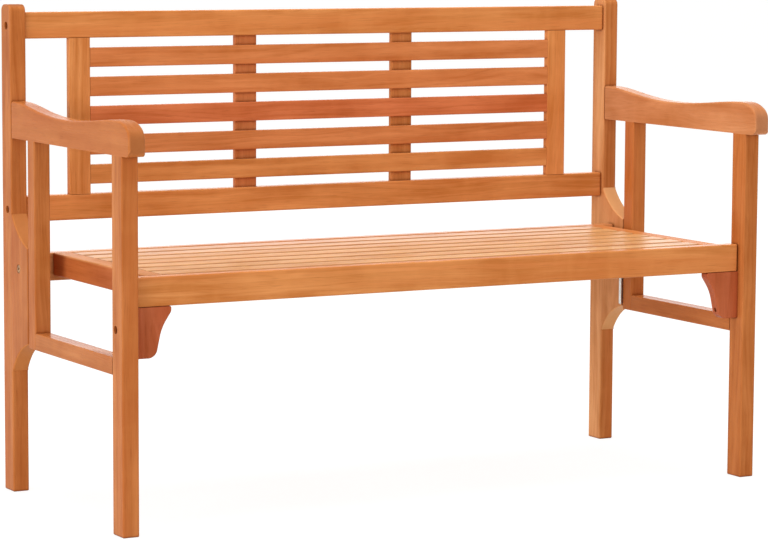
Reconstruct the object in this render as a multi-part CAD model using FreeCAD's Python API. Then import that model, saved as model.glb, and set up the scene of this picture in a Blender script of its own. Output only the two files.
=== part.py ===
import FreeCAD, Part
import math
import os

# Folding garden bench in oiled hardwood. Millimetres. Seen from the front, +X points to the right,
# +Y to the back and +Z up. The origin is the centre of the footprint on the floor.

# Overall sizes
overall_width = 1280.0
frame_depth = 522.0
post_height = 874.0
timber_width = 30.0
edge_radius = 2.5
slat_edge_radius = 2.0

# Fits and small clearances
joint_clearance = 0.1
thread_clearance = 0.03
running_clearance = 0.06
rest_gap = 0.2

# Rear posts, with a wing glued to the front of each at seat height
post_depth = 42.0
post_top_round = 12.0
wing_reach = 73.0
wing_foot_z = 220.0
wing_low_shoulder_z = 276.0
wing_high_shoulder_z = 447.0
wing_head_z = 502.0
wing_head_sag = 8.0
wing_foot_sag = 10.0
wing_tip_radius = 3.0

# Back rest between the posts
back_setback = 6.5
back_rail_thickness = 24.0
top_rail_drop = 14.0
top_rail_height = 47.0
bottom_rail_top_z = 532.0
bottom_rail_height = 46.0
back_stile_width = 41.0
back_stile_thickness = 14.0
back_stile_inset = 86.0
back_slat_count = 5
back_slat_height = 35.0
back_slat_thickness = 12.0
back_slat_setback = 0.6
back_batten_width = 44.0
back_batten_spacing = 330.0
back_tenon_length = 14.0
slat_tenon_length = 12.0
slat_shoulder = 5.0
slat_tongue_thickness = 7.0

# Seat panel
seat_height = 434.0
seat_front_setback = 17.0
seat_rear_gap = 19.0
seat_rail_thickness = 24.0
seat_front_rail_height = 50.0
seat_rear_rail_height = 50.0
seat_rail_end_gap = 2.0
seat_side_rail_inset = 32.0
seat_side_rail_width = 32.0
seat_side_rail_height = 40.0
seat_side_tenon_thickness = 12.0
seat_side_tenon_length = 14.0
seat_slat_count = 7
seat_slat_gap = 11.5
seat_slat_thickness = 15.0
seat_slat_edge_radius = 3.5
seat_batten_width = 44.0
seat_batten_thickness = 16.0
seat_batten_spacing = 380.0

# Seat pivots
pivot_drop = 27.0
pivot_bolt_diameter = 8.0
pivot_bolt_grip = 38.0
pivot_head_diameter = 15.0
pivot_head_height = 2.6
pivot_head_recess = 3.0
pivot_head_room = 0.5
pivot_socket_width = 5.0
pivot_socket_depth = 1.8
pivot_washer_diameter = 18.0

# Side frames
arm_rear_gap = 1.0
arm_underside_z = 638.0
arm_rear_height = 65.0
arm_dip_height = 46.0
arm_front_height = 58.5
arm_dip_reach = 246.0
arm_nose_overhang = 30.0
arm_brow_radius = 75.0
arm_brow_turn = 30.0
arm_nose_round = 26.0
arm_nose_under_round = 13.0
arm_edge_radius = 4.0
leg_depth = 42.0
upright_depth = 31.0
stretcher_bottom_z = 270.0
stretcher_height = 30.0
side_tenon_thickness = 11.0
side_tenon_length = 18.0
side_tenon_shoulder = 6.0

# Corner brackets under the seat's front rail
bracket_width = 68.0
bracket_height = 86.5
bracket_thickness = 21.0
bracket_lip = 9.0
bracket_scoop_width = 50.0
bracket_scoop_drop = 36.0
bracket_toe_width = 39.0
bracket_top_round = 3.0
bracket_lip_round = 10.0
bracket_scoop_round = 80.0
bracket_toe_round = 17.0

# Butt hinges between wing and side frame
hinge_height = 64.0
hinge_bottoms_z = (281.0, 362.0)
hinge_leaf_thickness = 1.2
hinge_leaf_width = 24.0
hinge_leaf_gap = 0.2
hinge_barrel_diameter = 6.5
hinge_barrel_gap = 0.3
hinge_knuckle_count = 3
hinge_knuckle_gap = 0.3
hinge_pin_diameter = 3.4
hinge_pin_overhang = 1.5
hinge_screw_count = 3

# Screws of the frame, sunk below the surface in wider holes
frame_screw_shank_diameter = 6.0
frame_screw_head_diameter = 14.0
frame_screw_recess = 4.0
rail_screw_length = 70.0
bracket_screw_length = 44.0

# Smaller wood screws
screw_shank_diameter = 4.0
screw_head_diameter = 8.0
bracket_screw_drop = 36.0
bracket_edge_screw_rise = 16.0
bracket_edge_screw_bite = 17.0
batten_screw_bite = 8.0
hinge_screw_shank_diameter = 3.0
hinge_screw_head_diameter = 5.4
hinge_screw_bite = 12.0
screw_slot_width = 1.2
screw_slot_depth = 0.6

# Levels and planes that the pieces share
half_width = overall_width / 2
inner_x = half_width - timber_width
overall_depth = frame_depth + arm_nose_overhang
post_back_y = overall_depth / 2
post_front_y = post_back_y - post_depth
leg_front_y = post_back_y - frame_depth
leg_back_y = leg_front_y + leg_depth
wing_front_y = post_front_y - wing_reach

back_front_y = post_front_y + back_setback
back_rear_y = back_front_y + back_rail_thickness
top_rail_top_z = post_height - top_rail_drop
top_rail_bottom_z = top_rail_top_z - top_rail_height
bottom_rail_bottom_z = bottom_rail_top_z - bottom_rail_height
back_stile_outer_x = inner_x - back_stile_inset
back_stile_inner_x = back_stile_outer_x - back_stile_width
back_slat_front_y = back_front_y + back_slat_setback
back_slat_rear_y = back_slat_front_y + back_slat_thickness
back_batten_x = back_batten_spacing / 2
back_slat_field = top_rail_bottom_z - bottom_rail_top_z
back_slat_gap = (back_slat_field - back_slat_count * back_slat_height) / (back_slat_count + 1)

seat_front_y = leg_front_y + seat_front_setback
seat_rear_y = post_front_y - seat_rear_gap
seat_inner_front_y = seat_front_y + seat_rail_thickness
seat_inner_rear_y = seat_rear_y - seat_rail_thickness
seat_rail_half = inner_x - seat_rail_end_gap
seat_side_outer_x = inner_x - seat_side_rail_inset
seat_side_inner_x = seat_side_outer_x - seat_side_rail_width
seat_slat_bottom_z = seat_height - seat_slat_thickness
seat_slat_field = seat_inner_rear_y - seat_inner_front_y
seat_slat_width = (seat_slat_field - (seat_slat_count + 1) * seat_slat_gap) / seat_slat_count
seat_batten_x = seat_batten_spacing / 2
pivot_y = (seat_rear_y + seat_inner_rear_y) / 2
pivot_z = seat_height - pivot_drop

hinge_gap = 2 * hinge_leaf_thickness + hinge_leaf_gap
hinge_y = wing_front_y - hinge_gap / 2
hinge_x = inner_x - hinge_barrel_diameter / 2 - hinge_barrel_gap
upright_back_y = wing_front_y - hinge_gap
upright_front_y = upright_back_y - upright_depth
side_middle_x = half_width - timber_width / 2
arm_back_y = post_front_y - arm_rear_gap
arm_nose_y = leg_front_y - arm_nose_overhang
bracket_top_z = seat_height - seat_front_rail_height - rest_gap

X_AXIS = FreeCAD.Vector(1, 0, 0)
Y_AXIS = FreeCAD.Vector(0, 1, 0)
Z_AXIS = FreeCAD.Vector(0, 0, 1)
CENTRE = FreeCAD.Vector(0, 0, 0)
FLAT = 0.001


def block(x0, x1, y0, y1, z0, z1):
    return Part.makeBox(x1 - x0, y1 - y0, z1 - z0, FreeCAD.Vector(x0, y0, z0))


def is_along(edge, axis):
    start = edge.Vertexes[0].Point
    end = edge.Vertexes[-1].Point
    run = end.sub(start)
    return run.Length > FLAT and run.cross(axis).Length < FLAT * run.Length


def bar(x0, x1, y0, y1, z0, z1, axis, radius):
    """A length of timber with its long edges eased."""
    timber = block(x0, x1, y0, y1, z0, z1)
    long_edges = [edge for edge in timber.Edges if is_along(edge, axis)]
    return timber.makeFillet(radius, long_edges)


def rail(x0, x1, y0, y1, z0, z1):
    """A rail with its long edges and its ends eased."""
    timber = block(x0, x1, y0, y1, z0, z1)
    return timber.makeFillet(edge_radius, timber.Edges)


def one_solid(shape):
    return shape.removeSplitter().Solids[0]


def joined(host, guest, x0, x1, y0, y1, z0, z1):
    """Gives the guest a tenon that fills the box, and the host a mortise around it."""
    tenon = block(x0, x1, y0, y1, z0, z1)
    room = joint_clearance
    mortise = block(x0 - room, x1 + room, y0 - room, y1 + room, z0 - room, z1 + room)
    return one_solid(host.cut(mortise)), one_solid(guest.fuse(tenon))


def drilled(shape, point, axis, radius, length):
    return one_solid(shape.cut(Part.makeCylinder(radius, length, point, axis)))


def mirrored(shape):
    return shape.mirror(CENTRE, X_AXIS)


def both_sides(shape):
    return [mirrored(shape), shape]


def side_profile(edges):
    """A board that stands in the plane of the right side frame, cut to an outline in Y and Z."""
    face = Part.Face(Part.Wire(Part.__sortEdges__(edges)))
    return face.extrude(X_AXIS * timber_width)


def side_point(y, z):
    return FreeCAD.Vector(inner_x, y, z)


def line(start, end):
    return Part.LineSegment(start, end).toShape()


def sagged_arc(start, end, sag):
    """An arc whose middle lies to the left of the way from start to end by sag, seen from +X."""
    chord = end.sub(start)
    left = X_AXIS.cross(chord)
    left.normalize()
    middle = start.add(chord * 0.5).add(left * sag)
    return Part.Arc(start, middle, end).toShape()


def rounded_corners(board, axis, corners):
    """Rounds the edge that runs along axis through each corner point, by the corner's own radius."""
    for corner, radius in corners:
        found = []
        for edge in board.Edges:
            if is_along(edge, axis):
                offset = edge.Vertexes[0].Point.sub(corner)
                if offset.cross(axis).Length < FLAT:
                    found.append(edge)
        board = board.makeFillet(radius, found)
    return board


def eased_outline(board, radius, above_z):
    """Eases the outline of the board's inner and outer side faces, apart from edges at or below above_z."""
    outline = []
    for edge in board.Edges:
        box = edge.BoundBox
        if box.XLength < FLAT and box.ZMax > above_z + FLAT:
            outline.append(edge)
    return board.makeFillet(radius, outline)


def flat_head_screw(point, axis, length, shank_diameter, head_diameter):
    """A countersunk screw whose flat slotted head lies at point and whose shank runs along axis."""
    shank_radius = shank_diameter / 2
    head_radius = head_diameter / 2
    head_height = head_radius - shank_radius
    head = Part.makeCone(head_radius, shank_radius, head_height, CENTRE, Z_AXIS)
    shank = Part.makeCylinder(shank_radius, length, CENTRE, Z_AXIS)
    slot = block(-head_radius, head_radius, -screw_slot_width / 2, screw_slot_width / 2, 0, screw_slot_depth)
    screw = one_solid(head.fuse(shank).cut(slot))
    screw.Placement = FreeCAD.Placement(point, FreeCAD.Rotation(Z_AXIS, axis))
    return screw


def screw_hole(point, axis, length, shank_diameter, head_diameter, recess):
    """Room for a screw whose head lies at point, with a straight hole as long as recess in front of it."""
    shank_radius = shank_diameter / 2 + thread_clearance
    head_radius = head_diameter / 2 + thread_clearance
    head_height = head_radius - shank_radius
    hole = Part.makeCone(head_radius, shank_radius, head_height, point, axis)
    hole = hole.fuse(Part.makeCylinder(shank_radius, length + joint_clearance, point, axis))
    if recess > 0:
        hole = hole.fuse(Part.makeCylinder(head_radius, recess, point, -axis))
    return hole


def fastened(pieces, point, axis, length, shank_diameter, head_diameter, recess=0):
    """Drills the hole of one screw through pieces and returns them, with the screw as the last item."""
    hole = screw_hole(point, axis, length, shank_diameter, head_diameter, recess)
    drilled_pieces = [one_solid(piece.cut(hole)) for piece in pieces]
    return drilled_pieces + [flat_head_screw(point, axis, length, shank_diameter, head_diameter)]


# Back frame

def rear_post():
    """Straight right-hand post, eased all round apart from the stretch that the wing is glued to."""
    post = block(inner_x, half_width, post_front_y, post_back_y, 0, post_height)
    post = rounded_corners(post, X_AXIS, [
        (side_point(post_back_y, post_height), post_top_round),
        (side_point(post_front_y, post_height), post_top_round),
        (side_point(post_front_y, 0), edge_radius),
        (side_point(post_back_y, 0), edge_radius),
    ])
    post = eased_outline(post, edge_radius, -1)
    glued = block(inner_x, half_width, post_front_y, post_front_y + post_depth / 2, wing_foot_z, wing_head_z)
    return one_solid(post.fuse(glued))


def post_wing():
    """Block on the front of the right-hand post that carries the seat's pivot and the hinges."""
    head = side_point(post_front_y, wing_head_z)
    high_shoulder = side_point(wing_front_y, wing_high_shoulder_z)
    low_shoulder = side_point(wing_front_y, wing_low_shoulder_z)
    foot = side_point(post_front_y, wing_foot_z)
    wing = side_profile([
        sagged_arc(head, high_shoulder, wing_head_sag),
        line(high_shoulder, low_shoulder),
        sagged_arc(low_shoulder, foot, wing_foot_sag),
        line(foot, head),
    ])
    wing = rounded_corners(wing, X_AXIS, [(high_shoulder, wing_tip_radius), (low_shoulder, wing_tip_radius)])
    eased = []
    for edge in wing.Edges:
        box = edge.BoundBox
        if box.XLength < FLAT and box.YMin < post_front_y - FLAT:
            eased.append(edge)
    wing = wing.makeFillet(edge_radius, eased)
    bore_radius = pivot_bolt_diameter / 2 + running_clearance
    wing = drilled(wing, side_point(pivot_y, pivot_z), X_AXIS, bore_radius, timber_width)
    recess_start = FreeCAD.Vector(half_width, pivot_y, pivot_z)
    return drilled(wing, recess_start, -X_AXIS, pivot_head_diameter / 2 + pivot_head_room, pivot_head_recess)


def back_rail(bottom_z, top_z):
    return rail(-inner_x, inner_x, back_front_y, back_rear_y, bottom_z, top_z)


def back_upright(x0, x1, y0, y1, radius):
    return bar(x0, x1, y0, y1, bottom_rail_top_z, top_rail_bottom_z, Z_AXIS, radius)


def tenoned_to_rails(bottom_rail, top_rail, upright, x0, x1, y0, y1):
    """Lets an upright of the back into both rails."""
    inset = slat_shoulder
    depth = (y1 - y0) / 4
    spot = (x0 + inset, x1 - inset, y0 + depth, y1 - depth)
    low = bottom_rail_top_z - back_tenon_length
    high = top_rail_bottom_z + back_tenon_length
    bottom_rail, upright = joined(bottom_rail, upright, *spot, low, bottom_rail_top_z)
    top_rail, upright = joined(top_rail, upright, *spot, top_rail_bottom_z, high)
    return bottom_rail, top_rail, upright


def build_back(parts):
    post = rear_post()
    top_rail = back_rail(top_rail_bottom_z, top_rail_top_z)
    bottom_rail = back_rail(bottom_rail_bottom_z, bottom_rail_top_z)

    stile_y = (back_front_y, back_front_y + back_stile_thickness)
    stiles = []
    for x0, x1 in ((-back_stile_outer_x, -back_stile_inner_x), (back_stile_inner_x, back_stile_outer_x)):
        stile = back_upright(x0, x1, *stile_y, slat_edge_radius)
        bottom_rail, top_rail, stile = tenoned_to_rails(bottom_rail, top_rail, stile, x0, x1, *stile_y)
        stiles.append(stile)

    batten_y = (back_slat_rear_y, back_rear_y)
    battens = []
    for centre in (-back_batten_x, back_batten_x):
        x0 = centre - back_batten_width / 2
        x1 = centre + back_batten_width / 2
        batten = back_upright(x0, x1, *batten_y, slat_edge_radius)
        bottom_rail, top_rail, batten = tenoned_to_rails(bottom_rail, top_rail, batten, x0, x1, *batten_y)
        battens.append(batten)

    tongue_y0 = back_slat_front_y + (back_slat_thickness - slat_tongue_thickness) / 2
    tongue_y1 = tongue_y0 + slat_tongue_thickness
    batten_screws = []
    screw_length = back_rear_y - back_slat_rear_y + batten_screw_bite
    for number in range(back_slat_count):
        top_z = top_rail_bottom_z - back_slat_gap - number * (back_slat_height + back_slat_gap)
        bottom_z = top_z - back_slat_height
        slat = bar(-back_stile_inner_x, back_stile_inner_x, back_slat_front_y, back_slat_rear_y,
                   bottom_z, top_z, X_AXIS, slat_edge_radius)
        tongue = (tongue_y0, tongue_y1, bottom_z + slat_shoulder, top_z - slat_shoulder)
        end_x = back_stile_inner_x + slat_tenon_length
        stiles[0], slat = joined(stiles[0], slat, -end_x, -back_stile_inner_x, *tongue)
        stiles[1], slat = joined(stiles[1], slat, back_stile_inner_x, end_x, *tongue)
        for index, centre in enumerate((-back_batten_x, back_batten_x)):
            head = FreeCAD.Vector(centre, back_rear_y, (bottom_z + top_z) / 2)
            battens[index], slat, screw = fastened(
                [battens[index], slat], head, -Y_AXIS, screw_length,
                screw_shank_diameter, screw_head_diameter)
            batten_screws.append(screw)
        parts[f"back_slat_{number + 1}"] = [slat]

    rail_screws = []
    rail_centre_y = (back_front_y + back_rear_y) / 2
    top_rail_centre_z = (top_rail_top_z + top_rail_bottom_z) / 2
    bottom_rail_centre_z = (bottom_rail_top_z + bottom_rail_bottom_z) / 2
    for level in (top_rail_centre_z, bottom_rail_centre_z):
        head = FreeCAD.Vector(half_width - frame_screw_recess, rail_centre_y, level)
        hole = screw_hole(head, -X_AXIS, rail_screw_length, frame_screw_shank_diameter,
                          frame_screw_head_diameter, frame_screw_recess)
        screw = flat_head_screw(head, -X_AXIS, rail_screw_length, frame_screw_shank_diameter,
                                frame_screw_head_diameter)
        post = one_solid(post.cut(hole))
        for side_hole in both_sides(hole):
            if level == top_rail_centre_z:
                top_rail = one_solid(top_rail.cut(side_hole))
            else:
                bottom_rail = one_solid(bottom_rail.cut(side_hole))
        rail_screws += both_sides(screw)

    parts["back_top_rail"] = [top_rail]
    parts["back_bottom_rail"] = [bottom_rail]
    parts["back_stile_left"] = [stiles[0]]
    parts["back_stile_right"] = [stiles[1]]
    parts["back_batten_left"] = [battens[0]]
    parts["back_batten_right"] = [battens[1]]
    parts["back_batten_screws"] = batten_screws
    parts["back_rail_screws"] = rail_screws
    parts["rear_post_right"] = [post]
    parts["rear_post_left"] = [mirrored(post)]


# Seat panel

def build_seat(parts):
    front_bottom_z = seat_height - seat_front_rail_height
    rear_bottom_z = seat_height - seat_rear_rail_height
    front_rail = rail(-seat_rail_half, seat_rail_half, seat_front_y, seat_inner_front_y,
                      front_bottom_z, seat_height)
    rear_rail = rail(-seat_rail_half, seat_rail_half, seat_inner_rear_y, seat_rear_y,
                     rear_bottom_z, seat_height)

    side_rails = []
    side_bottom_z = seat_height - seat_side_rail_height
    tenon_inset = (seat_side_rail_width - seat_side_tenon_thickness) / 2
    for x0, x1 in ((-seat_side_outer_x, -seat_side_inner_x), (seat_side_inner_x, seat_side_outer_x)):
        side_rail = bar(x0, x1, seat_inner_front_y, seat_inner_rear_y, side_bottom_z, seat_height,
                        Y_AXIS, slat_edge_radius)
        spot_x = (x0 + tenon_inset, x1 - tenon_inset)
        spot_z = (side_bottom_z + slat_shoulder, seat_height - slat_shoulder)
        front_y = (seat_inner_front_y - seat_side_tenon_length, seat_inner_front_y)
        rear_y = (seat_inner_rear_y, seat_inner_rear_y + seat_side_tenon_length)
        front_rail, side_rail = joined(front_rail, side_rail, *spot_x, *front_y, *spot_z)
        rear_rail, side_rail = joined(rear_rail, side_rail, *spot_x, *rear_y, *spot_z)
        side_rails.append(side_rail)

    battens = []
    batten_bottom_z = seat_slat_bottom_z - seat_batten_thickness
    for centre in (-seat_batten_x, seat_batten_x):
        battens.append(bar(centre - seat_batten_width / 2, centre + seat_batten_width / 2,
                           seat_inner_front_y, seat_inner_rear_y, batten_bottom_z, seat_slat_bottom_z,
                           Y_AXIS, slat_edge_radius))

    screws = []
    screw_length = seat_batten_thickness + batten_screw_bite
    tongue_bottom_z = seat_slat_bottom_z + (seat_slat_thickness - slat_tongue_thickness) / 2
    tongue_top_z = tongue_bottom_z + slat_tongue_thickness
    end_x = seat_side_inner_x + slat_tenon_length
    for number in range(seat_slat_count):
        y0 = seat_inner_front_y + seat_slat_gap + number * (seat_slat_width + seat_slat_gap)
        y1 = y0 + seat_slat_width
        slat = bar(-seat_side_inner_x, seat_side_inner_x, y0, y1, seat_slat_bottom_z, seat_height,
                   X_AXIS, seat_slat_edge_radius)
        tongue = (y0 + slat_shoulder, y1 - slat_shoulder, tongue_bottom_z, tongue_top_z)
        side_rails[0], slat = joined(side_rails[0], slat, -end_x, -seat_side_inner_x, *tongue)
        side_rails[1], slat = joined(side_rails[1], slat, seat_side_inner_x, end_x, *tongue)
        for index, centre in enumerate((-seat_batten_x, seat_batten_x)):
            head = FreeCAD.Vector(centre, (y0 + y1) / 2, batten_bottom_z)
            battens[index], slat, screw = fastened(
                [battens[index], slat], head, Z_AXIS, screw_length,
                screw_shank_diameter, screw_head_diameter)
            screws.append(screw)
        parts[f"seat_slat_{number + 1}"] = [slat]

    bolts = []
    washers = []
    washer_thickness = seat_rail_end_gap - rest_gap
    bolt_radius = pivot_bolt_diameter / 2
    rail_end = FreeCAD.Vector(seat_rail_half, pivot_y, pivot_z)
    bore_depth = pivot_bolt_grip + joint_clearance
    bolt_bore = Part.makeCylinder(bolt_radius + thread_clearance, bore_depth, rail_end, -X_AXIS)
    for side_bore in both_sides(bolt_bore):
        rear_rail = one_solid(rear_rail.cut(side_bore))
    bolts += both_sides(pivot_bolt())
    washer = Part.makeCylinder(pivot_washer_diameter / 2, washer_thickness, rail_end, X_AXIS)
    washer = drilled(washer, rail_end, X_AXIS, bolt_radius + joint_clearance, washer_thickness)
    washers += both_sides(washer)

    parts["seat_front_rail"] = [front_rail]
    parts["seat_rear_rail"] = [rear_rail]
    parts["seat_side_rail_left"] = [side_rails[0]]
    parts["seat_side_rail_right"] = [side_rails[1]]
    parts["seat_batten_left"] = [battens[0]]
    parts["seat_batten_right"] = [battens[1]]
    parts["seat_batten_screws"] = screws
    parts["pivot_bolts"] = bolts
    parts["pivot_washers"] = washers


def pivot_bolt():
    """Bolt through the right wing into the end of the seat's rear rail, with a hexagon socket in its head."""
    bolt_radius = pivot_bolt_diameter / 2
    bolt_end_x = seat_rail_half - pivot_bolt_grip
    head_x = half_width - pivot_head_recess + rest_gap
    outer_x = head_x + pivot_head_height
    shank_start = FreeCAD.Vector(bolt_end_x, pivot_y, pivot_z)
    head_start = FreeCAD.Vector(head_x, pivot_y, pivot_z)
    shank = Part.makeCylinder(bolt_radius, head_x - bolt_end_x, shank_start, X_AXIS)
    head = Part.makeCylinder(pivot_head_diameter / 2, pivot_head_height, head_start, X_AXIS)
    rim = [edge for edge in head.Edges if edge.BoundBox.XMin > outer_x - FLAT]
    head = head.makeFillet(pivot_head_height / 2, rim)
    corner_radius = pivot_socket_width / math.sqrt(3)
    corners = []
    for step in range(7):
        turn = step * math.pi / 3
        corners.append(FreeCAD.Vector(outer_x, pivot_y + corner_radius * math.cos(turn),
                                      pivot_z + corner_radius * math.sin(turn)))
    socket = Part.Face(Part.makePolygon(corners)).extrude(-X_AXIS * pivot_socket_depth)
    return one_solid(head.fuse(shank).cut(socket))


# Side frames

def arm():
    front_top_z = arm_underside_z + arm_front_height
    rear_top_z = arm_underside_z + arm_rear_height
    dip_z = arm_underside_z + arm_dip_height
    dip_y = post_front_y - arm_dip_reach
    turn = math.radians(arm_brow_turn)
    radius_change = arm_brow_radius - arm_nose_round
    nose_round_y = arm_nose_y + arm_nose_round
    nose_top_y = nose_round_y + radius_change * math.sin(turn)
    brow_round_z = front_top_z - arm_brow_radius
    nose_round_z = brow_round_z + radius_change * math.cos(turn)
    rear_bend_y = (arm_back_y + dip_y) / 2
    front_bend_y = (nose_top_y + dip_y) / 2
    crest = Part.BSplineCurve()
    crest.interpolate(
        Points=[
            side_point(arm_back_y, rear_top_z),
            side_point(rear_bend_y, dip_z + (rear_top_z - dip_z) * 0.36),
            side_point(dip_y, dip_z),
            side_point(front_bend_y, dip_z + (front_top_z - dip_z) * 0.46),
            side_point(nose_top_y, front_top_z),
        ],
        InitialTangent=FreeCAD.Vector(0, -1, 0),
        FinalTangent=FreeCAD.Vector(0, -1, 0),
    )
    rear_top = side_point(arm_back_y, rear_top_z)
    rear_bottom = side_point(arm_back_y, arm_underside_z)
    nose_front = side_point(arm_nose_y, nose_round_z)
    nose_bottom = side_point(arm_nose_y, arm_underside_z)
    board = side_profile([
        crest.toShape(),
        forward_arc(nose_top_y, brow_round_z, arm_brow_radius, 0, turn),
        forward_arc(nose_round_y, nose_round_z, arm_nose_round, turn, math.pi / 2),
        line(nose_front, nose_bottom),
        line(nose_bottom, rear_bottom),
        line(rear_bottom, rear_top),
    ])
    board = rounded_corners(board, X_AXIS, [(rear_top, edge_radius)])
    board = eased_outline(board, arm_edge_radius, arm_underside_z)
    return one_solid(board.cut(nose_underside()))


def forward_arc(centre_y, centre_z, radius, start, end):
    """An arc of a side profile, between two angles that open from the top towards the front."""
    points = []
    for turn in (start, (start + end) / 2, end):
        points.append(side_point(centre_y - radius * math.sin(turn), centre_z + radius * math.cos(turn)))
    return Part.Arc(*points).toShape()


def nose_underside():
    """The waste below the round under the arm's nose."""
    radius = arm_nose_under_round
    round_y = arm_nose_y + radius
    round_z = arm_underside_z + radius
    corner = block(inner_x, half_width, arm_nose_y, round_y, arm_underside_z, round_z)
    return corner.cut(Part.makeCylinder(radius, timber_width, side_point(round_y, round_z), X_AXIS))


def side_upright(front_y, back_y, bottom_z):
    """An upright of the side frame, with its foot eased all round and its head square under the arm."""
    timber = block(inner_x, half_width, front_y, back_y, bottom_z, arm_underside_z)
    eased = []
    for edge in timber.Edges:
        box = edge.BoundBox
        if is_along(edge, Z_AXIS) or box.ZMax < bottom_z + FLAT:
            eased.append(edge)
    return timber.makeFillet(edge_radius, eased)


def bracket():
    """Shaped bracket beside the right front leg, drawn in X and Z at its front face."""
    def point(reach, drop):
        return FreeCAD.Vector(inner_x - reach, seat_front_y, bracket_top_z - drop)

    top_corner = point(0, 0)
    top_end = point(bracket_width, 0)
    lip = point(bracket_width, bracket_lip)
    scoop = point(bracket_scoop_width, bracket_scoop_drop)
    toe = point(bracket_toe_width, bracket_height)
    foot_corner = point(0, bracket_height)
    outline = Part.makePolygon([top_corner, top_end, lip, scoop, toe, foot_corner, top_corner])
    board = Part.Face(outline).extrude(Y_AXIS * bracket_thickness)
    board = rounded_corners(board, Y_AXIS, [
        (top_end, bracket_top_round),
        (lip, bracket_lip_round),
        (scoop, bracket_scoop_round),
        (toe, bracket_toe_round),
    ])
    eased = []
    for edge in board.Edges:
        box = edge.BoundBox
        if box.YLength < FLAT and box.XMin < inner_x - FLAT:
            eased.append(edge)
    return board.makeFillet(slat_edge_radius, eased)


def bracket_edge_reach(drop):
    """How far the bracket's long slanted edge stands off the leg at a drop below its top."""
    share = (drop - bracket_scoop_drop) / (bracket_height - bracket_scoop_drop)
    return bracket_scoop_width + (bracket_toe_width - bracket_scoop_width) * share


def build_side(parts):
    """Builds the right side frame and mirrors it for the left one."""
    arm_board = arm()
    leg = side_upright(leg_front_y, leg_back_y, 0)
    upright = side_upright(upright_front_y, upright_back_y, stretcher_bottom_z)
    stretcher_top_z = stretcher_bottom_z + stretcher_height
    stretcher = bar(inner_x, half_width, leg_back_y, upright_front_y, stretcher_bottom_z, stretcher_top_z,
                    Y_AXIS, edge_radius)

    spot_x = (side_middle_x - side_tenon_thickness / 2, side_middle_x + side_tenon_thickness / 2)
    arm_tenon_z = (arm_underside_z, arm_underside_z + side_tenon_length)
    for post_y in ((leg_front_y, leg_back_y), (upright_front_y, upright_back_y)):
        spot_y = (post_y[0] + side_tenon_shoulder, post_y[1] - side_tenon_shoulder)
        if post_y[0] == leg_front_y:
            arm_board, leg = joined(arm_board, leg, *spot_x, *spot_y, *arm_tenon_z)
        else:
            arm_board, upright = joined(arm_board, upright, *spot_x, *spot_y, *arm_tenon_z)
    spot_z = (stretcher_bottom_z + side_tenon_shoulder, stretcher_top_z - side_tenon_shoulder)
    leg, stretcher = joined(leg, stretcher, *spot_x, leg_back_y - side_tenon_length, leg_back_y, *spot_z)
    rear_tenon_y = (upright_front_y, upright_front_y + side_tenon_length)
    upright, stretcher = joined(upright, stretcher, *spot_x, *rear_tenon_y, *spot_z)

    corner = bracket()
    middle_y = seat_front_y + bracket_thickness / 2
    leg_head = FreeCAD.Vector(half_width - frame_screw_recess, middle_y, bracket_top_z - bracket_screw_drop)
    leg, corner, leg_screw = fastened(
        [leg, corner], leg_head, -X_AXIS, bracket_screw_length, frame_screw_shank_diameter,
        frame_screw_head_diameter, frame_screw_recess)
    edge_drop = bracket_height - bracket_edge_screw_rise
    edge_x = inner_x - bracket_edge_reach(edge_drop) + screw_head_diameter / 2
    edge_head = FreeCAD.Vector(edge_x, middle_y, bracket_top_z - edge_drop)
    edge_length = inner_x - edge_x + bracket_edge_screw_bite
    leg, corner, edge_screw = fastened(
        [leg, corner], edge_head, X_AXIS, edge_length, screw_shank_diameter,
        screw_head_diameter, bracket_width)

    leaves = []
    leaf_screws = []
    for bottom_z in hinge_bottoms_z:
        leaf = hinge_leaf(bottom_z, -1)
        for level in hinge_screw_levels(bottom_z):
            head = FreeCAD.Vector(side_middle_x, upright_back_y + hinge_leaf_thickness, level)
            leaf, upright, screw = fastened(
                [leaf, upright], head, -Y_AXIS, hinge_screw_bite,
                hinge_screw_shank_diameter, hinge_screw_head_diameter)
            leaf_screws.append(screw)
        leaves.append(leaf)

    right = {
        "arm": [arm_board],
        "front_leg": [leg],
        "arm_upright": [upright],
        "side_stretcher": [stretcher],
        "corner_bracket": [corner],
        "bracket_screws": [leg_screw, edge_screw],
        "hinge_leaves": leaves,
        "hinge_leaf_screws": leaf_screws,
    }
    for name, solids in right.items():
        parts[f"{name}_right"] = solids
        parts[f"{name}_left"] = [mirrored(solid) for solid in solids]


# Butt hinges

def hinge_screw_levels(bottom_z):
    pitch = hinge_height / hinge_screw_count
    return [bottom_z + (number + 0.5) * pitch for number in range(hinge_screw_count)]


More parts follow.
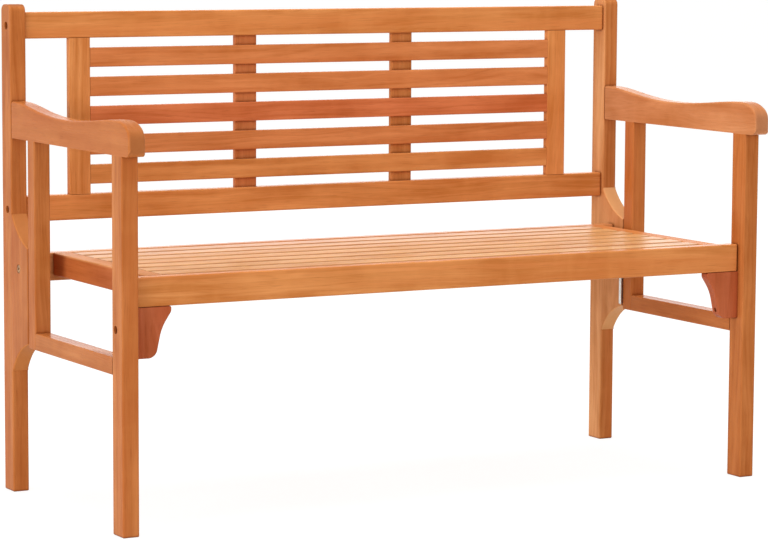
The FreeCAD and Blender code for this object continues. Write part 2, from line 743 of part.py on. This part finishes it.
def hinge_leaf(bottom_z, side):
    """One leaf of a right-hand hinge: side 1 lies on the wing, side -1 on the upright; knuckles alternate."""
    barrel_radius = hinge_barrel_diameter / 2
    bore = hinge_pin_diameter / 2 + (thread_clearance if side == 1 else running_clearance)
    plate_start_x = hinge_x + barrel_radius + hinge_knuckle_gap
    plate_end_x = plate_start_x + hinge_leaf_width
    if side == 1:
        plate_y = (wing_front_y - hinge_leaf_thickness, wing_front_y)
    else:
        plate_y = (upright_back_y, upright_back_y + hinge_leaf_thickness)
    leaf = block(plate_start_x, plate_end_x, *plate_y, bottom_z, bottom_z + hinge_height)
    share = (hinge_height - (hinge_knuckle_count - 1) * hinge_knuckle_gap) / hinge_knuckle_count
    first_slot = 0 if side == 1 else 1
    for slot in range(first_slot, hinge_knuckle_count, 2):
        start_z = bottom_z + slot * (share + hinge_knuckle_gap)
        root = FreeCAD.Vector(hinge_x, hinge_y, start_z)
        neck = block(hinge_x, plate_start_x, *plate_y, start_z, start_z + share)
        knuckle = Part.makeCylinder(barrel_radius, share, root, Z_AXIS)
        leaf = leaf.fuse(neck).fuse(knuckle)
    axis_start = FreeCAD.Vector(hinge_x, hinge_y, bottom_z)
    return drilled(leaf, axis_start, Z_AXIS, bore, hinge_height)


def hinge_pin(bottom_z):
    length = hinge_height + 2 * hinge_pin_overhang
    start = FreeCAD.Vector(hinge_x, hinge_y, bottom_z - hinge_pin_overhang)
    pin = Part.makeCylinder(hinge_pin_diameter / 2, length, start, Z_AXIS)
    rims = [edge for edge in pin.Edges if edge.BoundBox.ZLength < FLAT]
    return pin.makeFillet(hinge_pin_diameter / 4, rims)


def build_wings(parts):
    """Wings of both posts with the fixed leaves of their hinges."""
    wing = post_wing()
    leaves = []
    pins = []
    screws = []
    for bottom_z in hinge_bottoms_z:
        leaf = hinge_leaf(bottom_z, 1)
        for level in hinge_screw_levels(bottom_z):
            head = FreeCAD.Vector(side_middle_x, wing_front_y - hinge_leaf_thickness, level)
            leaf, wing, screw = fastened(
                [leaf, wing], head, Y_AXIS, hinge_screw_bite,
                hinge_screw_shank_diameter, hinge_screw_head_diameter)
            screws += both_sides(screw)
        leaves += both_sides(leaf)
        pins += both_sides(hinge_pin(bottom_z))
    parts["post_wing_right"] = [wing]
    parts["post_wing_left"] = [mirrored(wing)]
    parts["post_hinge_leaves"] = leaves
    parts["post_hinge_screws"] = screws
    parts["hinge_pins"] = pins


def main():
    parts = {}
    build_back(parts)
    build_wings(parts)
    build_seat(parts)
    build_side(parts)
    os.makedirs("parts", exist_ok=True)
    for name, solids in parts.items():
        shape = solids[0] if len(solids) == 1 else Part.makeCompound(solids)
        shape.exportStep(f"parts/{name}.step")
    print(len(parts), "nodes")


main()
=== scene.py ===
import math
import random

import bpy
from mathutils import Matrix, Vector


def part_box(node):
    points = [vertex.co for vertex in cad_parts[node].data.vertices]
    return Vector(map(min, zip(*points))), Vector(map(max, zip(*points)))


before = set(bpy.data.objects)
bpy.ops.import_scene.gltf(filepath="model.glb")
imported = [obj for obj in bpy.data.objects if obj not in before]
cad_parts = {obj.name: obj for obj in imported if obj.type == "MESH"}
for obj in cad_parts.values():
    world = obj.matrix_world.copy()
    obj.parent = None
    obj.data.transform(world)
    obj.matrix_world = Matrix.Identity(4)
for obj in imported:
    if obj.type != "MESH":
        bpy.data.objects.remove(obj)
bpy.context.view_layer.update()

# Tones of the oiled wood as sRGB bytes, the way they look under plain light.
HONEY = (211, 134, 73)
AMBER = (205, 123, 69)
RUSSET = (205, 112, 65)
CHESTNUT = (187, 109, 54)
UMBER = (175, 90, 53)
FAWN = (202, 132, 83)
BISCUIT = (206, 138, 84)
# The seat slats' tone is paler than the same wood elsewhere: partly the slats' own tone, partly a painted
# sheen of the seat tops.
STRAW_WITH_SHEEN = (213, 153, 89)
TAWNY = (189, 113, 58)
SIENNA = (178, 93, 44)

# Each wooden piece: the axis that its grain runs along, and its tone.
BOARDS = {
    "rear_post_left": ("Z", CHESTNUT),
    "rear_post_right": ("Z", TAWNY),
    "post_wing_left": ("Z", CHESTNUT),
    "post_wing_right": ("Z", BISCUIT),
    "back_top_rail": ("X", HONEY),
    "back_bottom_rail": ("X", HONEY),
    "back_stile_left": ("Z", HONEY),
    "back_stile_right": ("Z", HONEY),
    "back_batten_left": ("Z", AMBER),
    "back_batten_right": ("Z", HONEY),
    "back_slat_1": ("X", AMBER),
    "back_slat_2": ("X", AMBER),
    "back_slat_3": ("X", RUSSET),
    "back_slat_4": ("X", AMBER),
    "back_slat_5": ("X", HONEY),
    "seat_front_rail": ("X", HONEY),
    "seat_rear_rail": ("X", BISCUIT),
    "seat_side_rail_left": ("Y", SIENNA),
    "seat_side_rail_right": ("Y", HONEY),
    "seat_batten_left": ("Y", AMBER),
    "seat_batten_right": ("Y", AMBER),
    "seat_slat_1": ("X", STRAW_WITH_SHEEN),
    "seat_slat_2": ("X", STRAW_WITH_SHEEN),
    "seat_slat_3": ("X", STRAW_WITH_SHEEN),
    "seat_slat_4": ("X", STRAW_WITH_SHEEN),
    "seat_slat_5": ("X", STRAW_WITH_SHEEN),
    "seat_slat_6": ("X", STRAW_WITH_SHEEN),
    "seat_slat_7": ("X", STRAW_WITH_SHEEN),
    "arm_left": ("Y", TAWNY),
    "arm_right": ("Y", FAWN),
    "front_leg_left": ("Z", TAWNY),
    "front_leg_right": ("Z", CHESTNUT),
    "arm_upright_left": ("Z", TAWNY),
    "arm_upright_right": ("Z", CHESTNUT),
    "side_stretcher_left": ("Y", TAWNY),
    "side_stretcher_right": ("Y", CHESTNUT),
    "corner_bracket_left": ("Z", UMBER),
    "corner_bracket_right": ("Z", UMBER),
}

# Boards with a painted highlight along one face, a paler tone that stands for the light and sheen on that
# side: the axis square to that face, and the face's place on it.
PAINTED_HIGHLIGHT_FACES = {
    "rear_post_right": ("X", "low"),
    "seat_side_rail_left": ("Z", "high"),
}
PAINTED_HIGHLIGHT_TONE = BISCUIT
PAINTED_HIGHLIGHT_DEPTH = 0.004

# Metal pieces that sit in sunk holes: a brown finish, made darker to paint the shade in their holes; the
# others are bright.
SHADE_DARKENED_FASTENERS = ("back_rail_screws", "bracket_screws_left", "bracket_screws_right", "pivot_bolts")
ZINC_DULL, ZINC_BRIGHT = (188, 186, 180), (222, 220, 215)
BROWN_SHADED_DULL, BROWN_SHADED_BRIGHT = (152, 108, 70), (206, 160, 112)

# Turns that bring a board's grain onto the X axis of its texture.
GRAIN_TURN = {
    "X": Matrix.Identity(3),
    "Y": Matrix.Rotation(math.radians(-90), 3, "Z"),
    "Z": Matrix.Rotation(math.radians(90), 3, "Y"),
}
GRAIN_TILT_DEG = 1.2
HEART_DISTANCE = (0.06, 0.16)
HEART_SHIFT = 4

# Features per metre of the wood's figure: along the grain, and twice across it.
BANDS = (0.9, 26.0, 26.0)
CLOUDS = (7.0, 24.0, 24.0)
RIPPLES = (22.0, 9.0, 9.0)
STREAKS = (1.8, 80.0, 80.0)
FIBRES = (10.0, 700.0, 700.0)
PORES = (24.0, 1400.0, 1400.0)
RUBBED_SPOTS = (7.0, 30.0, 30.0)
RING_WANDER = (2.2, 11.0, 11.0)
RING_WANDER_REACH = 0.05
RINGS_PER_METRE = 170.0

# Tints: factors on a board's own tone, in linear light.
PALE_TINT = (1.15, 1.26, 1.45)
DEEP_TINT = (0.82, 0.72, 0.58)
RUDDY_TINT = (0.97, 0.82, 0.78)
BRIGHT_TINT = (1.14, 1.22, 1.30)
PORE_TINT = (0.50, 0.38, 0.32)
WORN_TINT = (1.20, 1.42, 1.9)
END_GRAIN_TINT = (0.74, 0.74, 0.86)
# Painted highlight on the wings' upward curves, where light from above falls.
WING_HIGHLIGHT_TINT = (1.25, 1.50, 1.75)
# Painted shade that darkens corners, joints and narrow gaps.
PAINTED_SHADE_TINT = (0.42, 0.25, 0.14)
BOARD_LIFT = (0.97, 1.03)

# How strongly each layer shows, from 0 to 1.
RUDDY_SHARE = 0.6
BRIGHT_SHARE = 0.3
PORE_SHARE = 0.38
WORN_SHARE = 0.40
# The end grain's share also sets the strength of the wings' painted highlight.
END_GRAIN_AND_HIGHLIGHT_SHARE = 0.8
# Strength of the painted shade, and two lines down, how far from a corner it reaches.
PAINTED_SHADE_SHARE = 0.65
WOOD_EDGE_RADIUS = 0.0022
PAINTED_SHADE_REACH = 0.006

# Finish of the wood: the roughness under its figure, and the level of its shine.
WOOD_FINISH = (0.17, 0.06)
SIDE_RAIL_FINISH = (0.32, 0.06)
SEAT_SLAT_FINISH = (0.26, 0.50)

# Stage, in metres and watts. Each lamp: place, aim, width, height, power.
FLOOR_HALF_SIZE = 40.0
FLOOR_GLOW = 0.80
FLOOR_SHADOW_DEPTH = 0.30
WORLD_STRENGTH = 0.68
LAMPS = {
    "overhead": ((-0.2, -0.1, 5.0), (0.0, 0.0, 0.4), 3.0, 2.4, 130.0),
    "left": ((-11.0, -4.2, 1.8), (0.0, 0.0, 0.5), 6.0, 3.0, 560.0),
    "front": ((-0.8, -6.5, 2.6), (0.0, 0.0, 0.5), 3.0, 2.4, 38.0),
    "rear": ((2.8, 5.2, 1.5), (0.0, 0.0, 0.5), 4.0, 2.0, 27.0),
}

# Camera fitted to the photo: place in metres, turns in degrees, focal length and width in pixels.
CAMERA_PLACE = (-2.743, -4.953, 1.0366)
CAMERA_YAW = -28.882
CAMERA_PITCH = 6.517
CAMERA_ROLL = 0.29
CAMERA_FOCAL_PX = 3134.5
PHOTO_WIDTH_PX = 768


def linear(colour):
    """sRGB bytes as linear values."""
    values = []
    for byte in colour:
        value = byte / 255
        values.append(value / 12.92 if value <= 0.04045 else ((value + 0.055) / 1.055) ** 2.4)
    return values


def shaded(colour, tint, lift=1.0):
    """A linear colour with alpha: the sRGB colour times a tint, in linear light."""
    red, green, blue = linear(colour)
    return (red * tint[0] * lift, green * tint[1] * lift, blue * tint[2] * lift, 1.0)


def plain(colour, level=1.0):
    """A linear colour with alpha: the sRGB colour at a level of brightness."""
    return shaded(colour, (1.0, 1.0, 1.0), level)


class Graph:
    """Short ways to add and link the nodes of one material."""

    def __init__(self, name):
        self.material = bpy.data.materials.new(name)
        self.material.use_nodes = True
        self.tree = self.material.node_tree
        self.shader = self.tree.nodes["Principled BSDF"]

    def node(self, kind, **settings):
        made = self.tree.nodes.new(kind)
        for key, value in settings.items():
            setattr(made, key, value)
        return made

    def feed(self, socket, value):
        if isinstance(value, bpy.types.NodeSocket):
            self.tree.links.new(value, socket)
        else:
            socket.default_value = value

    def math(self, operation, first, second=0.0):
        made = self.node("ShaderNodeMath", operation=operation)
        self.feed(made.inputs[0], first)
        self.feed(made.inputs[1], second)
        return made.outputs[0]

    def total(self, *weighted):
        """Sum of (value, weight) pairs."""
        result = 0.0
        for value, weight in weighted:
            result = self.math("ADD", self.math("MULTIPLY", value, weight), result)
        return result

    def vector(self, operation, first, second):
        made = self.node("ShaderNodeVectorMath", operation=operation)
        self.feed(made.inputs[0], first)
        self.feed(made.inputs[1], second)
        return made.outputs["Value" if operation in ("DOT_PRODUCT", "LENGTH") else "Vector"]

    def coordinate(self, kind, axis):
        """One axis of the object's own place (Object) or direction (Normal)."""
        parts = self.node("ShaderNodeSeparateXYZ")
        self.feed(parts.inputs[0], self.node("ShaderNodeTexCoord").outputs[kind])
        return parts.outputs[axis]

    def noise(self, place, stretch, detail=2.0, roughness=0.5):
        """Noise whose features are 1 / stretch metres long on each axis."""
        made = self.node("ShaderNodeTexNoise")
        self.feed(made.inputs["Vector"], self.vector("MULTIPLY", place, stretch))
        made.inputs["Scale"].default_value = 1.0
        made.inputs["Detail"].default_value = detail
        made.inputs["Roughness"].default_value = roughness
        return made.outputs["Fac"]

    def span(self, value, low, high, to_low=0.0, to_high=1.0):
        """Spreads low..high to to_low..to_high, and holds it there."""
        made = self.node("ShaderNodeMapRange", clamp=True)
        self.feed(made.inputs["Value"], value)
        made.inputs["From Min"].default_value = low
        made.inputs["From Max"].default_value = high
        made.inputs["To Min"].default_value = to_low
        made.inputs["To Max"].default_value = to_high
        return made.outputs["Result"]

    def mix(self, share, first, second, blend="MIX"):
        made = self.node("ShaderNodeMix", data_type="RGBA", blend_type=blend)
        self.feed(made.inputs[0], share)
        self.feed(made.inputs[6], first)
        self.feed(made.inputs[7], second)
        return made.outputs[2]

    def facing(self, axis, low, high):
        """1 on faces square to an axis of the object, 0 on faces along it."""
        return self.span(self.math("ABSOLUTE", self.coordinate("Normal", axis)), low, high)

    def edge_wear(self, radius):
        """1 on convex and concave edges that are tighter than radius, 0 on open faces."""
        rounded = self.node("ShaderNodeBevel", samples=6)
        rounded.inputs["Radius"].default_value = radius
        flat = self.node("ShaderNodeNewGeometry")
        same = self.vector("DOT_PRODUCT", rounded.outputs["Normal"], flat.outputs["Normal"])
        return self.span(same, 0.995, 0.86)

    def painted_shade(self, reach):
        """Painted shade: 1 deep in the corners where pieces meet and in narrow gaps, 0 on open faces."""
        hollow = self.node("ShaderNodeAmbientOcclusion", samples=6)
        hollow.inputs["Distance"].default_value = reach
        return self.span(hollow.outputs["AO"], 0.92, 0.50)

    def bump(self, height, strength, distance):
        made = self.node("ShaderNodeBump")
        self.feed(made.inputs["Height"], height)
        made.inputs["Strength"].default_value = strength
        made.inputs["Distance"].default_value = distance
        self.tree.links.new(made.outputs["Normal"], self.shader.inputs["Normal"])


def board_place(graph, node, axis, chance):
    """Coordinates of one board: X along its grain, with the heart of the log beside the board."""
    low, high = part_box(node)
    tilt = Matrix.Rotation(math.radians(chance.uniform(-GRAIN_TILT_DEG, GRAIN_TILT_DEG)), 3, "Y")
    tilt = tilt @ Matrix.Rotation(math.radians(chance.uniform(-GRAIN_TILT_DEG, GRAIN_TILT_DEG)), 3, "Z")
    turn = tilt @ GRAIN_TURN[axis]
    angle = chance.uniform(0.0, 2.0 * math.pi)
    reach = chance.uniform(*HEART_DISTANCE)
    along = chance.uniform(-HEART_SHIFT, HEART_SHIFT)
    heart = Vector((along, reach * math.cos(angle), reach * math.sin(angle)))
    place = graph.node("ShaderNodeMapping")
    graph.feed(place.inputs["Vector"], graph.node("ShaderNodeTexCoord").outputs["Object"])
    place.inputs["Rotation"].default_value = turn.to_euler()
    place.inputs["Location"].default_value = heart - turn @ ((low + high) / 2)
    return place.outputs["Vector"]


def growth_rings(graph, place):
    """Growth rings of uneven width round the heart of the log, which wander along the grain."""
    wander = graph.math("MULTIPLY", graph.noise(place, RING_WANDER), RING_WANDER_REACH)
    across = graph.vector("MULTIPLY", place, (0.0, 1.0, 1.0))
    radius = graph.math("ADD", graph.vector("LENGTH", across, (0.0, 0.0, 0.0)), wander)
    rings = graph.node("ShaderNodeTexNoise", noise_dimensions="1D")
    graph.feed(rings.inputs["W"], radius)
    rings.inputs["Scale"].default_value = RINGS_PER_METRE
    rings.inputs["Detail"].default_value = 3.0
    rings.inputs["Roughness"].default_value = 0.6
    return rings.outputs["Fac"]


def wood_layers(graph, place):
    """The layers of the wood's figure, each from 0 to 1."""
    return {
        "bands": graph.noise(place, BANDS),
        "clouds": graph.noise(place, CLOUDS, detail=3.0),
        "ripples": graph.noise(place, RIPPLES, detail=3.0),
        "rings": growth_rings(graph, place),
        "streaks": graph.noise(place, STREAKS, detail=3.0, roughness=0.55),
        "fibres": graph.noise(place, FIBRES, detail=3.0, roughness=0.6),
        "pores": graph.span(graph.noise(place, PORES, detail=1.0), 0.60, 0.72),
    }


def wood_figure(graph, layers, colour, lift):
    """The tone of clean wood: pale and deep grain, ruddy bands, bright ripples and dark pores."""
    figure = graph.total(
        (layers["rings"], 0.20), (layers["streaks"], 0.32), (layers["clouds"], 0.40), (layers["fibres"], 0.08)
    )
    pale, deep = shaded(colour, PALE_TINT, lift), shaded(colour, DEEP_TINT, lift)
    tone = graph.mix(graph.span(figure, 0.40, 0.60), pale, deep)
    ruddy = graph.span(layers["bands"], 0.48, 0.68, 0.0, RUDDY_SHARE)
    tone = graph.mix(ruddy, tone, shaded(colour, RUDDY_TINT, lift))
    bright = graph.span(layers["ripples"], 0.48, 0.72, 0.0, BRIGHT_SHARE)
    tone = graph.mix(bright, tone, shaded(colour, BRIGHT_TINT, lift))
    return graph.mix(graph.math("MULTIPLY", layers["pores"], PORE_SHARE), tone, shaded(colour, PORE_TINT))


def painted_highlight_face(graph, node):
    """1 on a board's face with the painted highlight, 0 from the highlight's depth inwards."""
    axis, end = PAINTED_HIGHLIGHT_FACES[node]
    low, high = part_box(node)
    number = "XYZ".index(axis)
    face, inside = low[number], low[number] + PAINTED_HIGHLIGHT_DEPTH
    if end == "high":
        face, inside = high[number], high[number] - PAINTED_HIGHLIGHT_DEPTH
    return graph.span(graph.coordinate("Object", axis), inside, face)


def finish_of(node):
    """The roughness under a board's figure, and the level of its shine."""
    if node.startswith("seat_slat"):
        return SEAT_SLAT_FINISH
    if node.startswith("seat_side_rail"):
        return SIDE_RAIL_FINISH
    return WOOD_FINISH


def oiled_wood(node, axis, colour):
    """Oiled hardwood: figure along the grain, paler worn edges, end grain, painted shade in the joints and
    between seat slats, and painted highlights on some faces.
    """
    chance = random.Random(node)
    graph = Graph("wood_" + node)
    place = board_place(graph, node, axis, chance)
    layers = wood_layers(graph, place)
    tone = wood_figure(graph, layers, colour, chance.uniform(*BOARD_LIFT))
    # Paint a highlight on the lit face of some boards.
    if node in PAINTED_HIGHLIGHT_FACES:
        paler = [pale / own for pale, own in zip(linear(PAINTED_HIGHLIGHT_TONE), linear(colour))]
        tone = graph.mix(painted_highlight_face(graph, node), tone, (*paler, 1.0), blend="MULTIPLY")

    rubbed = graph.span(graph.noise(place, RUBBED_SPOTS, detail=3.0), 0.38, 0.66)
    wear = graph.math("MULTIPLY", graph.edge_wear(WOOD_EDGE_RADIUS), rubbed)
    tone = graph.mix(graph.math("MULTIPLY", wear, WORN_SHARE), tone, shaded(colour, WORN_TINT))
    # Darker end grain; on the wings the same mask instead paints a highlight on the upward curves.
    across, end_or_highlight_tint = graph.facing(axis, 0.55, 0.95), END_GRAIN_TINT
    if node.startswith("post_wing"):
        across, end_or_highlight_tint = graph.facing(axis, 0.20, 0.60), WING_HIGHLIGHT_TINT
    tone = graph.mix(graph.math("MULTIPLY", across, END_GRAIN_AND_HIGHLIGHT_SHARE), tone, shaded(colour, end_or_highlight_tint))
    # Painted shade in corners and narrow gaps, and on the front and back sides of the seat slats.
    painted_shade = graph.painted_shade(PAINTED_SHADE_REACH)
    if node.startswith("seat_slat"):
        painted_shade = graph.math("MAXIMUM", painted_shade, graph.facing("Y", 0.30, 0.70))
    tone = graph.mix(graph.math("MULTIPLY", painted_shade, PAINTED_SHADE_SHARE), tone, shaded(colour, PAINTED_SHADE_TINT))

    dullness, gloss = finish_of(node)
    streaks, clouds, pores = layers["streaks"], layers["clouds"], layers["pores"]
    roughness = graph.total((streaks, 0.14), (clouds, 0.08), (pores, 0.10), (wear, 0.08), (across, 0.15))
    graph.feed(graph.shader.inputs["Base Color"], tone)
    graph.feed(graph.shader.inputs["Roughness"], graph.math("ADD", roughness, dullness))
    graph.shader.inputs["IOR"].default_value = 1.5
    graph.shader.inputs["Specular IOR Level"].default_value = gloss
    relief = graph.total((layers["fibres"], 0.6), (streaks, 0.5), (pores, -0.6))
    graph.bump(relief, 0.07, 0.0005)
    return graph.material


def plated_steel(name, dull, bright):
    """Plated steel with a cloudy bloom, fine scratches and brighter rubbed edges."""
    graph = Graph(name)
    place = graph.node("ShaderNodeTexCoord").outputs["Object"]
    cloud = graph.noise(place, (160.0, 160.0, 160.0), detail=4.0, roughness=0.6)
    scratches = graph.noise(place, (2600.0, 90.0, 900.0), detail=3.0, roughness=0.7)
    tone = graph.mix(graph.span(cloud, 0.35, 0.68), plain(dull), plain(bright))
    tone = graph.mix(graph.span(scratches, 0.55, 0.72, 0.0, 0.35), tone, plain(bright, 1.25))
    tone = graph.mix(graph.math("MULTIPLY", graph.edge_wear(0.0008), 0.5), tone, plain(bright, 1.3))
    graph.feed(graph.shader.inputs["Base Color"], tone)
    graph.feed(graph.shader.inputs["Roughness"], graph.span(cloud, 0.3, 0.7, 0.30, 0.48))
    graph.shader.inputs["Metallic"].default_value = 1.0
    graph.bump(scratches, 0.08, 0.0002)
    return graph.material


def dress(node, material):
    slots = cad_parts[node].data.materials
    slots.clear()
    slots.append(material)


def seen_directly(tree):
    """1 for what the camera, a reflection or a clear body sees, 0 for light that falls on the object."""
    rays = tree.nodes.new("ShaderNodeLightPath")
    seen = rays.outputs["Is Camera Ray"]
    for kind in ("Is Glossy Ray", "Is Transmission Ray"):
        either = tree.nodes.new("ShaderNodeMath")
        either.operation = "MAXIMUM"
        tree.links.new(seen, either.inputs[0])
        tree.links.new(rays.outputs[kind], either.inputs[1])
        seen = either.outputs[0]
    return seen


def studio_world(strength):
    """A pale tent that lights the object, and shows as plain white."""
    world = bpy.data.worlds.new("studio")
    bpy.context.scene.world = world
    world.use_nodes = True
    tree = world.node_tree
    tent = tree.nodes["Background"]
    tent.inputs["Color"].default_value = (1.0, 0.99, 0.975, 1.0)
    tent.inputs["Strength"].default_value = strength
    white = tree.nodes.new("ShaderNodeBackground")
    white.inputs["Color"].default_value = (1.0, 1.0, 1.0, 1.0)
    choose = tree.nodes.new("ShaderNodeMixShader")
    tree.links.new(seen_directly(tree), choose.inputs[0])
    tree.links.new(tent.outputs[0], choose.inputs[1])
    tree.links.new(white.outputs[0], choose.inputs[2])
    tree.links.new(choose.outputs[0], tree.nodes["World Output"].inputs["Surface"])


def floor_material(glow, shadow_depth):
    """As white as the backdrop apart from the object's soft shadow, and clear from below."""
    material = bpy.data.materials.new("pale_floor")
    material.use_nodes = True
    tree = material.node_tree
    matt = tree.nodes["Principled BSDF"]
    matt.inputs["Base Color"].default_value = (0.74, 0.735, 0.725, 1.0)
    matt.inputs["Roughness"].default_value = 0.9
    white = tree.nodes.new("ShaderNodeEmission")
    white.inputs["Strength"].default_value = glow
    lit = tree.nodes.new("ShaderNodeBsdfDiffuse")
    lit.inputs["Color"].default_value = (shadow_depth, shadow_depth, shadow_depth, 1.0)
    shown = tree.nodes.new("ShaderNodeAddShader")
    tree.links.new(white.outputs[0], shown.inputs[0])
    tree.links.new(lit.outputs[0], shown.inputs[1])
    choose = tree.nodes.new("ShaderNodeMixShader")
    tree.links.new(seen_directly(tree), choose.inputs[0])
    tree.links.new(matt.outputs[0], choose.inputs[1])
    tree.links.new(shown.outputs[0], choose.inputs[2])
    below = tree.nodes.new("ShaderNodeMixShader")
    tree.links.new(tree.nodes.new("ShaderNodeNewGeometry").outputs["Backfacing"], below.inputs[0])
    tree.links.new(choose.outputs[0], below.inputs[1])
    tree.links.new(tree.nodes.new("ShaderNodeBsdfTransparent").outputs[0], below.inputs[2])
    tree.links.new(below.outputs[0], tree.nodes["Material Output"].inputs["Surface"])
    return material


def floor(half_size, material):
    """A square floor at height 0, which isn't part of the object."""
    mesh = bpy.data.meshes.new("floor")
    corners = [
        (-half_size, -half_size, 0),
        (half_size, -half_size, 0),
        (half_size, half_size, 0),
        (-half_size, half_size, 0),
    ]
    mesh.from_pydata(corners, [], [(0, 1, 2, 3)])
    plane = bpy.data.objects.new("floor", mesh)
    bpy.context.scene.collection.objects.link(plane)
    mesh.materials.append(material)


def softbox(name, place, target, width, height, power):
    light = bpy.data.lights.new(name, "AREA")
    light.shape = "RECTANGLE"
    light.size = width
    light.size_y = height
    light.energy = power
    lamp = bpy.data.objects.new(name, light)
    lamp.location = place
    lamp.rotation_euler = (Vector(target) - Vector(place)).to_track_quat("-Z", "Y").to_euler()
    bpy.context.scene.collection.objects.link(lamp)


def photo_camera(place, yaw, pitch, roll, focal_px, image_width):
    """A camera at place that looks along yaw (from +Y towards -X) and pitch (down), in degrees."""
    yaw, pitch, roll = math.radians(yaw), math.radians(pitch), math.radians(roll)
    ahead = Vector((-math.sin(yaw) * math.cos(pitch), math.cos(yaw) * math.cos(pitch), -math.sin(pitch)))
    right = Vector((math.cos(yaw), math.sin(yaw), 0.0))
    up = right.cross(ahead)
    image_x = math.cos(roll) * right + math.sin(roll) * up
    image_y = -math.sin(roll) * right + math.cos(roll) * up
    camera = bpy.data.cameras.new("photo_camera")
    camera.sensor_width = 36.0
    camera.lens = focal_px / image_width * camera.sensor_width
    camera.clip_end = 100.0
    holder = bpy.data.objects.new("photo_camera", camera)
    turn = Matrix((image_x, image_y, -ahead)).transposed().to_4x4()
    holder.matrix_world = Matrix.Translation(place) @ turn
    bpy.context.scene.collection.objects.link(holder)
    bpy.context.scene.camera = holder


for node, (axis, colour) in BOARDS.items():
    dress(node, oiled_wood(node, axis, colour))

zinc = plated_steel("zinc_steel", ZINC_DULL, ZINC_BRIGHT)
# Darker brown steel that paints the shade of the sunk holes.
brown = plated_steel("brown_shaded_steel", BROWN_SHADED_DULL, BROWN_SHADED_BRIGHT)
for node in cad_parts:
    if node not in BOARDS:
        dress(node, brown if node in SHADE_DARKENED_FASTENERS else zinc)

floor(FLOOR_HALF_SIZE, floor_material(FLOOR_GLOW, FLOOR_SHADOW_DEPTH))
studio_world(WORLD_STRENGTH)
for name, lamp in LAMPS.items():
    softbox(name, *lamp)
photo_camera(CAMERA_PLACE, CAMERA_YAW, CAMERA_PITCH, CAMERA_ROLL, CAMERA_FOCAL_PX, PHOTO_WIDTH_PX)

bpy.context.scene.view_settings.view_transform = "Standard"
